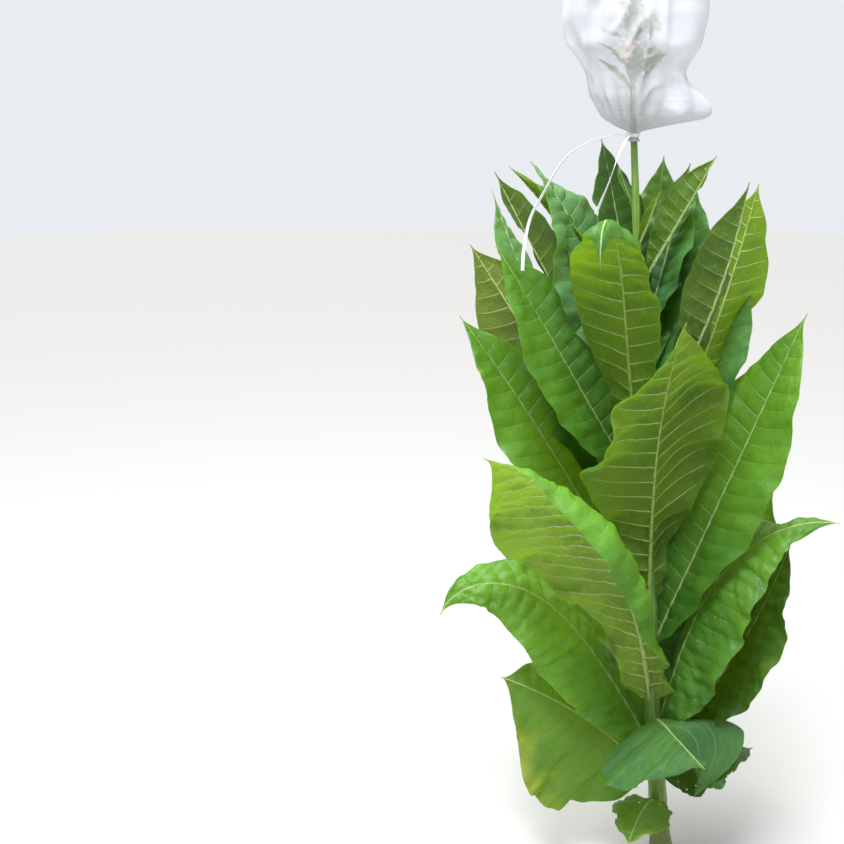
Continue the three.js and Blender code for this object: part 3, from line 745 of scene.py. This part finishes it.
def geometry_tree(name, inputs):
    """A geometry tree with named inputs, and the sockets that carry them."""
    group = bpy.data.node_groups.new(name, "GeometryNodeTree")
    group.interface.new_socket("Geometry", in_out="INPUT", socket_type="NodeSocketGeometry")
    for label, (kind, value) in inputs.items():
        socket = group.interface.new_socket(label, in_out="INPUT", socket_type=f"NodeSocket{kind}")
        if value is not None:
            socket.default_value = value
    group.interface.new_socket("Geometry", in_out="OUTPUT", socket_type="NodeSocketGeometry")
    tree = Tree(group)
    source = group.nodes.new("NodeGroupInput")
    return tree, {output.name: Socket(tree, output) for output in source.outputs if output.name}


def end_tree(tree, geometry, material=None):
    """Ends a geometry tree in plain geometry, of one material where one is given."""
    made = tree.node("GeometryNodeRealizeInstances", {0: geometry})
    if material:
        made = tree.node("GeometryNodeSetMaterial", {"Geometry": made, "Material": material})
    out = tree.tree.nodes.new("NodeGroupOutput")
    tree.tree.links.new(made.output, out.inputs[0])
    return tree


def round_skin(tree, given):
    """A round skin along each line of the base, with the radius of its points."""
    curve = tree.node("GeometryNodeMeshToCurve", {0: given["Geometry"]})
    ring = tree.node("GeometryNodeCurvePrimitiveCircle", {
        "Resolution": given["Sides"], "Radius": 1})
    return tree.node("GeometryNodeCurveToMesh", {
        "Curve": curve, "Profile Curve": ring, "Scale": tree.point_value("radius"), "Fill Caps": True})


def tube_tree(name, material):
    """A round stalk or cord along each line."""
    tree, given = geometry_tree(name, {"Sides": ("Int", 8)})
    return end_tree(tree, round_skin(tree, given), material)


def stem_tree(material):
    """A round stalk with lengthwise ribs and a little unevenness, except on its flat ends."""
    tree, given = geometry_tree("stem_rule", {
        "Sides": ("Int", 48), "Ribs": ("Float", 9), "Rib depth": ("Float", 0.0006),
        "Unevenness": ("Float", 0.0012)})
    skin = round_skin(tree, given)
    out = tree.node("GeometryNodeInputNormal")
    x, y, z = tree.parts(out)
    ribs = tree.maths("COSINE", tree.maths("ARCTAN2", y, x) * given["Ribs"]) * given["Rib depth"]
    place = tree.node("GeometryNodeInputPosition")
    uneven = (tree.noise(place, 24) - 0.5) * given["Unevenness"]
    height = (ribs + uneven) * tree.maths("LESS_THAN", abs(z), 0.7)
    push = tree.node("ShaderNodeVectorMath", {0: out, "Scale": height}, {"operation": "SCALE"})
    moved = tree.node("GeometryNodeSetPosition", {"Geometry": skin, "Offset": push})
    return end_tree(tree, moved, material)


def ribbon_tree(material):
    """A flat woven ribbon along a curve."""
    tree, given = geometry_tree("ribbon_rule", {
        "Width": ("Float", 0.005), "Thickness": ("Float", 0.0005), "Step": ("Float", 0.004),
        "Twist": ("Float", 2)})
    curve = tree.node("GeometryNodeMeshToCurve", {0: given["Geometry"]})
    curve = tree.node("GeometryNodeCurveSplineType", {"Curve": curve}, {"spline_type": "CATMULL_ROM"})
    values = {"Curve": curve, "Length": given["Step"]}
    curve = tree.node("GeometryNodeResampleCurve", values, {"mode": "LENGTH"})
    twist = tree.node("GeometryNodeSplineParameter") * given["Twist"]
    curve = tree.node("GeometryNodeSetCurveTilt", {"Curve": curve, "Tilt": twist})
    profile = tree.node("GeometryNodeCurvePrimitiveQuadrilateral", {
        "Width": given["Width"], "Height": given["Thickness"]})
    skin = tree.node("GeometryNodeCurveToMesh", {
        "Curve": curve, "Profile Curve": profile, "Fill Caps": True})
    return end_tree(tree, skin, material)


def cluster_tree():
    """One small shape on each point, along the point's own direction and at its own size."""
    tree, given = geometry_tree("cluster_rule", {"Shape": ("Object", None), "Size": ("Float", 1)})
    info = tree.node("GeometryNodeObjectInfo", {"Object": given["Shape"]}, output="Geometry")
    way = tree.point_value("way", "FLOAT_VECTOR")
    way = tree.node("FunctionNodeAlignRotationToVector", {"Vector": way}, {"axis": "Z"})
    size = tree.point_value("radius") * given["Size"]
    spread = tree.node("GeometryNodeInstanceOnPoints", {
        "Points": given["Geometry"], "Instance": info, "Rotation": way, "Scale": size})
    return end_tree(tree, spread)


def stem_material():
    """Satin green stalk: fine lengthwise ribs, paler streaks, browner and rougher at the ground."""
    tree, done = new_material("stalk_green")
    place = tree.place()
    x, y, z = tree.parts(place)
    streaks = tree.step(tree.noise(tree.vector(x * 260, y * 260, z * 9), 1), 0.3, 0.7)
    patches = tree.step(tree.noise(place, 16, 4), 0.35, 0.65)
    colour = tree.mix(streaks, (0.07, 0.17, 0.02), (0.15, 0.28, 0.045))
    colour = tree.mix(patches * 0.5, colour, (0.2, 0.3, 0.06))
    soil = tree.step(z + tree.noise(place, 30) * 0.05, 0.11, 0.03)
    colour = tree.mix(soil * 0.75, colour, (0.19, 0.17, 0.07))
    height = streaks * 0.6 + tree.noise(place, 350, 2) * (0.25 + soil)
    return done(tree.surface({
        "Base Color": colour, "Roughness": 0.45 + soil * 0.3, "Normal": tree.bump(height, 0.0009),
        "Specular IOR Level": 0.4, "Subsurface Weight": 0.05}))


def bud_material(name, first, second, glow, clear=0.25):
    """Soft plant skin with a little mottling and fine hairs."""
    tree, done = new_material(name)
    place = tree.place()
    mottle = tree.step(tree.noise(place, 140), 0.3, 0.7)
    skin = tree.surface({
        "Base Color": tree.mix(mottle, first, second), "Roughness": 0.6 + mottle * 0.1,
        "Normal": tree.bump(tree.noise(place, 900, 2), 0.0004), "Sheen Weight": 0.2})
    return done(tree.lit_through(clear, skin, glow))


def sheer_material():
    """Sheer woven cloth: threads both ways that let most of the light through."""
    tree, done = new_material("sheer_cloth")
    weave = tree.attribute("weave")
    round_it, up_it, loose = tree.parts(weave)
    warp = tree.step(tree.maths("PINGPONG", round_it * 900, 0.5), 0.16, 0.34)
    weft = tree.step(tree.maths("PINGPONG", up_it * 900, 0.5), 0.16, 0.34)
    threads = tree.maths("MAXIMUM", warp, weft)
    uneven = tree.noise(weave, 26)
    colour = tree.mix(uneven, (0.64, 0.65, 0.69), (0.8, 0.79, 0.82))
    alpha = 0.2 + threads * 0.22 + (uneven - 0.5) * 0.16 + loose * 0.25
    return done(tree.surface({
        "Base Color": colour, "Roughness": 0.85, "Alpha": alpha,
        "Normal": tree.bump(threads, 0.0003), "Specular IOR Level": 0.1}))


def ribbon_material():
    """White woven ribbon with fine cross threads."""
    tree, done = new_material("woven_ribbon")
    place = tree.place()
    x, y, z = tree.parts(place)
    threads = tree.noise(tree.vector(x * 900, y * 900, z * 2600), 1, 2)
    soft = tree.noise(place, 40)
    colour = tree.mix(soft, (0.8, 0.81, 0.82), (0.93, 0.93, 0.92))
    return done(tree.surface({
        "Base Color": colour, "Roughness": 0.6 + soft * 0.2, "Normal": tree.bump(threads, 0.0004),
        "Sheen Weight": 0.2}))


def add_stem():
    heights = np.array([*FLARE_RINGS, *range(52, STEM_HEIGHT, RING_STEP), STEM_HEIGHT])
    centres = stem_centre(heights)
    radii = stem_radius(heights)
    for leaf in LEAVES.values():
        radii = radii + COLLAR * np.exp(-((heights - leaf.at) / COLLAR_HEIGHT) ** 2)
    base = wire("stem_line", centres * MM, join_edges(centres), radii * MM)
    piece = run_nodes("stalk", stem_tree(stem_material()), base, {"Sides": 48})
    finish_piece(piece, "stem")


def add_ribbons(material):
    for name, points in RIBBONS.items():
        base = wire(name + "_line", np.array(points) * MM, join_edges(points))
        piece = run_nodes(name + "_woven", ribbon_tree(material), base, {"Twist": 2.0})
        finish_piece(piece, name)


def add_tie(material):
    """Turns of the ribbon round the neck of the bag, and a knot at its front."""
    angle = np.linspace(0, 2 * pi * TIE_TURNS, 97)
    ring = NECK_RADIUS + TIE_CLEAR + 0.5 * np.sin(angle / 3)
    climb = (angle / angle[-1] - 0.5) * TIE_HEIGHT
    loop = np.stack([ring * np.cos(angle - 2), ring * np.sin(angle - 2), climb], 1)
    angle = np.linspace(0, 4 * pi, 41)
    knot = np.stack([
        2.6 * np.cos(angle) + np.cos(2.5 * angle), 2.4 * np.sin(angle), 2.8 * np.sin(angle * 1.5)], 1)
    points = np.concatenate([stem_centre(NECK_HEIGHT) + loop, np.array(KNOT) + knot])
    edges = [edge for edge in join_edges(points) if edge[1] != len(loop)]
    base = wire("tie_line", points * MM, edges, np.full(len(points), TIE_CORD) * MM)
    piece = run_nodes("tie_cord", tube_tree("tie_rule", material), base, {"Sides": 8})
    finish_piece(piece, "bag_tie")


def bag_profile():
    """Height and radius of the bag's rows, evenly spaced and with rounded corners."""
    rings = np.array(BAG_RINGS, float)
    slant = np.concatenate([[0], np.cumsum(np.hypot(*np.diff(rings, axis=0).T))])
    at = np.linspace(0, slant[-1], BAG_ROWS + 1)
    knots = np.array([np.interp(at, slant, rings[:, k]) for k in (0, 1)])
    kernel = np.hanning(9) / np.hanning(9).sum()
    eased = np.array([np.convolve(np.pad(k, 4, mode="edge"), kernel, "valid") for k in knots])
    height, radius = np.where(knots[0] > EASED_FROM, eased, knots)
    radius[-1] = 0
    return height, radius


def bag_points(height, radius, turn, above):
    """Points of the bag: its folds, the gathers over its neck and its loose lower corner."""
    loose = np.minimum(above / LOOSE_HEIGHT, 1)
    wave = sum(weight * np.cos(n * turn + phase) for n, phase, weight in FOLDS)
    signed = (turn + pi) % (2 * pi) - pi
    off = height - LOBE_HEIGHT
    bulge = np.exp(-(signed / LOBE_WIDE) ** 2 - (off / np.where(off > 0, LOBE_UP, LOBE_DOWN)) ** 2)
    gather = sum(
        size * np.exp(-above / fade) * np.cos(n * turn + sway * np.sin(often * turn) + height / slant)
        for size, fade, n, sway, often, slant in GATHERS)
    r = radius * (1 + PLEAT * loose * wave + gather * np.minimum(above / GATHER_START, 1))
    r += LOBE * np.minimum(above / LOBE_LOOSE, 1) * bulge
    x = stem_centre(np.minimum(height, STEM_HEIGHT))[..., 0] - BAG_LEAN * above
    return np.stack([x + r * np.cos(turn), r * np.sin(turn), height], -1)


def bag_creases(height, radius, turn, above):
    """How far the cloth stands out in soft creases. They stop short of the seam at turn 0."""
    loose = np.minimum(above / LOOSE_HEIGHT, 1) * np.minimum(radius / LOOSE_RADIUS, 1)
    slanting = height / 26 + 3 * np.sin(turn * 2)
    crease = CREASE * (1 - np.abs(unevenness(turn * 3.5, slanting * 0.6, 5)) * 2)
    crease = crease + SMALL_CREASE * unevenness(turn * 9 / pi, height / 22, 6)
    return crease * smooth(np.abs(turn - pi), pi, pi - 0.25) * loose


def bag_faces():
    """Both skins of the bag and the rim at its neck. Its last row is one point."""
    count = (BAG_ROWS + 1) * BAG_COLUMNS
    grid = np.arange(count).reshape(BAG_ROWS + 1, BAG_COLUMNS)
    beside = np.roll(grid, -1, axis=1)
    grid[-1] = beside[-1] = BAG_ROWS * BAG_COLUMNS
    body = np.stack([grid[:-1], beside[:-1], beside[1:], grid[1:]], -1).reshape(-1, 4)
    rim = np.stack([beside[0], grid[0], grid[0] + count, beside[0] + count], -1)
    faces = np.concatenate([body, body[:, ::-1] + count, rim]).tolist()
    return [[c for i, c in enumerate(face) if c != face[i - 1]] for face in faces]


def round_normals(place):
    """Normals of rows of points that run round and close."""
    return sheet_normals(np.concatenate([place, place[:, :1]], 1))[:, :-1]


def add_bag():
    """A sheer sack, gathered at its tied neck, with soft folds and creases."""
    height, radius = bag_profile()
    turn = np.linspace(0, 2 * pi, BAG_COLUMNS + 1)[:-1]
    height, radius, turn = np.broadcast_arrays(height[:, None], radius[:, None], turn)
    above = np.maximum(height - NECK_HEIGHT, 0)
    place = bag_points(height, radius, turn, above)
    place = place + round_normals(place) * bag_creases(height, radius, turn, above)[..., None]
    place[-1] = place[-1].mean(0)
    normals = round_normals(place)
    normals[-1] = (0, 0, 1)
    faces = bag_faces()
    used = sorted({c for face in faces for c in face})
    new = {old: i for i, old in enumerate(used)}
    skins = [(place + CLOTH * normals).reshape(-1, 3), (place - CLOTH * normals).reshape(-1, 3)]
    faces = [[new[c] for c in face] for face in faces]
    mesh = new_mesh("sheer_bag", np.concatenate(skins)[used] * MM, faces, [sheer_material()])
    add_skin_values(mesh, "weave", used, turn * 100 * MM, height * MM, np.exp(-above / 30))
    finish_piece(add_object("sheer_bag", mesh), "flower_bag")


def turned(name, profile, sides, materials, lobes=0):
    """A small closed shape turned about +Z, one unit tall, with a waved open end if it has lobes."""
    rings = []
    angle = np.arange(sides) * 2 * pi / sides
    for height, radius in profile:
        wave = 1 + (PETAL_LOBE * np.cos(lobes * angle) if lobes and radius > 0.2 else 0)
        x, y = radius * wave * np.cos(angle), radius * wave * np.sin(angle)
        rings.append(np.stack([x, y, height + 0 * angle], 1))
    points = np.concatenate(rings + [[[0, 0, profile[0][0]]], [[0, 0, profile[-1][0]]]])
    at = np.arange(len(profile) * sides).reshape(-1, sides)
    beside = np.roll(at, -1, axis=1)
    body = np.stack([at[:-1], beside[:-1], beside[1:], at[1:]], -1).reshape(-1, 4).tolist()
    foot = [[len(points) - 2, int(b), int(a)] for a, b in zip(at[0], beside[0])]
    tip = [[len(points) - 1, int(a), int(b)] for a, b in zip(at[-1], beside[-1])]
    mesh = new_mesh(name, points, body + foot + tip, materials)
    slots = [int(i // sides >= CALYX_END) for i in range(len(body))] + [0] * len(foot) + [1] * len(tip)
    mesh.polygons.foreach_set("material_index", slots)
    mesh.polygons.foreach_set("use_smooth", [True] * len(slots))
    return add_object(name, mesh)


def head_point(share):
    return stem_centre(STEM_HEIGHT) + np.array([-HEAD_LEAN * share, 0, share * HEAD_HEIGHT])


def branch_route(number):
    """Points along one side stalk of the flower head. The upper ones are shorter and steeper."""
    share = BRANCH_SPAN[0] + (BRANCH_SPAN[1] - BRANCH_SPAN[0]) * (number / (BRANCHES - 1))
    rise = radians(BRANCH_RISE[0] + (BRANCH_RISE[1] - BRANCH_RISE[0]) * share)
    way = pointing(radians(GOLDEN_ANGLE * number), rise)
    reach = BRANCH_LENGTH * (1 - BRANCH_SHORTENS * share)
    bow = np.array([0, 0, BRANCH_BOW])
    return [head_point(share) + way * reach * t + bow * t * t for t in np.linspace(0, 1, 6)]


def add_flower_head():
    """The stalk, its side stalks, and capsules, buds and open flowers on short stalks of their own."""
    rng = np.random.default_rng(11)
    points, edges, radii = [], [], []
    tips = {kind: [] for kind in KINDS}

    def stalk(route, first, last):
        start = len(points)
        points.extend(route)
        edges.extend((start + i, start + j) for i, j in join_edges(route))
        radii.extend(np.linspace(first, last, len(route)))

    def pedicel(foot, heading, rise, length, kind, size):
        way = pointing(heading, rise)
        droop = np.array([0, 0, -DROOP])
        route = [foot + way * length * t + droop * length * t * t for t in (0, 0.5, 1)]
        stalk(route, *PEDICEL_RADII)
        tips[kind].append((route[-1], way + 2 * droop, size))

    main = [head_point(t) for t in np.linspace(0, 1, 14)]
    stalk(main, *MAIN_RADII)
    # What each stalk bears: how many, and from what share of its length on
    bearing = [(main[4:], 0.6, 10)]
    for number in range(BRANCHES):
        route = branch_route(number)
        stalk(route, *BRANCH_RADII)
        bearing.append((route, 0.3, 7))
    for route, first, count in bearing:
        for k in range(count):
            at = (first + (1 - first) * (k + 0.5) / count) * (len(route) - 1)
            low = min(int(at), len(route) - 2)
            foot = route[low] + (route[low + 1] - route[low]) * (at - low)
            kind = rng.choice(list(KINDS), p=[share for share, _ in KINDS.values()])
            pedicel(foot, rng.uniform(0, 2 * pi), radians(rng.uniform(25, 75)), rng.uniform(5, 9), kind,
                    KINDS[kind][1] * rng.uniform(0.8, 1.1))
    calyx = bud_material("calyx_green", (0.2, 0.3, 0.06), (0.34, 0.42, 0.12), (0.4, 0.5, 0.1))
    petal = bud_material("petal_pale", (0.84, 0.78, 0.66), (0.84, 0.7, 0.62), (0.88, 0.76, 0.6), 0.4)
    pod = bud_material("capsule_green", (0.36, 0.42, 0.12), (0.5, 0.5, 0.2), (0.5, 0.5, 0.1))
    base = wire("head_line", np.array(points) * MM, edges, np.array(radii) * MM)
    parts = [run_nodes("head_stalks", tube_tree("stalk_rule", calyx), base, {"Sides": 8})]
    shapes = {
        "capsule": turned("capsule_shape", CAPSULE, 8, [calyx, pod]),
        "bud": turned("bud_shape", BUD, 8, [calyx, petal]),
        "flower": turned("flower_shape", FLOWER, 10, [calyx, petal], lobes=5),
    }
    for kind, ends in tips.items():
        places, ways, sizes = zip(*ends)
        base = wire(kind + "_points", np.array(places) * MM, [], np.array(sizes) * MM)
        add_vectors(base.data, "way", ways)
        parts.append(run_nodes(kind + "_heads", cluster_tree(), base, {"Shape": shapes[kind]}))
    for shape in shapes.values():
        bpy.data.objects.remove(shape)
    for part in parts:
        finish_piece(part, "flower_head")


def add_floor():
    tree, done = new_material("pale_floor")
    matt = tree.surface({"Base Color": (0.44, 0.44, 0.43, 1), "Roughness": 0.9})
    angle = np.linspace(0, 2 * pi, 65)[:-1]
    edge = [(FLOOR_RADIUS * cos(a), FLOOR_RADIUS * sin(a), 0) for a in angle]
    mesh = new_mesh("floor", edge, [list(range(len(edge)))], [done(matt)])
    add_object("floor", mesh)


def add_light(name, kind, watts, colour, direction):
    """A light that shines in one direction."""
    light = bpy.data.lights.new(name, kind)
    light.energy = watts
    light.color = colour
    lamp = add_object(name, light)
    lamp.rotation_euler = Vector(direction).to_track_quat("-Z", "Y").to_euler()
    return lamp


def add_lights():
    """A soft high sun, a disk of light over the viewer, and a pale sky."""
    sun = add_light("sky", "SUN", 3.4, (1, 0.98, 0.94), (0.45, -0.5, -1.3))
    sun.data.angle = radians(35)
    lamp = add_light("overhead", "AREA", 180, (0.92, 0.97, 1), (0.4, 1.4, -2.9))
    lamp.data.shape = "DISK"
    lamp.data.size = 1.6
    lamp.location = (-0.4, -1.4, 3.6)
    world = bpy.data.worlds.new("studio")
    world.use_nodes = True
    background = world.node_tree.nodes["Background"]
    background.inputs["Color"].default_value = (0.93, 0.96, 1, 1)
    background.inputs["Strength"].default_value = 0.88
    bpy.context.scene.world = world
    bpy.context.scene.view_settings.view_transform = "Standard"


def add_camera():
    camera = bpy.data.cameras.new("camera")
    camera.lens = LENS
    camera.sensor_width = SENSOR
    eye = add_object("camera", camera)
    eye.location = EYE
    eye.rotation_euler = (radians(90 - TILT_DOWN), 0, radians(TURN_LEFT))
    bpy.context.scene.camera = eye


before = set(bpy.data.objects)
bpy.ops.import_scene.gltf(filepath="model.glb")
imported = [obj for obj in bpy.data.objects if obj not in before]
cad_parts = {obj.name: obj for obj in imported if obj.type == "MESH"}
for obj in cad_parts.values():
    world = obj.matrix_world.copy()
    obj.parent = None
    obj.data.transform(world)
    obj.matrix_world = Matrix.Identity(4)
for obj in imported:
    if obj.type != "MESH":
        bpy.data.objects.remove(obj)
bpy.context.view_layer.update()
add_camera()
add_lights()
add_floor()
add_stem()
for number, leaf in LEAVES.items():
    make_blade(f"blade_{number:02}", number, leaf, f"leaf_{number:02}")
for number, leaf in HEAD_BRACTS.items():
    make_blade(f"head_bract_{number}", number, leaf, "flower_head")
add_flower_head()
trim = ribbon_material()
add_tie(trim)
add_ribbons(trim)
add_bag()
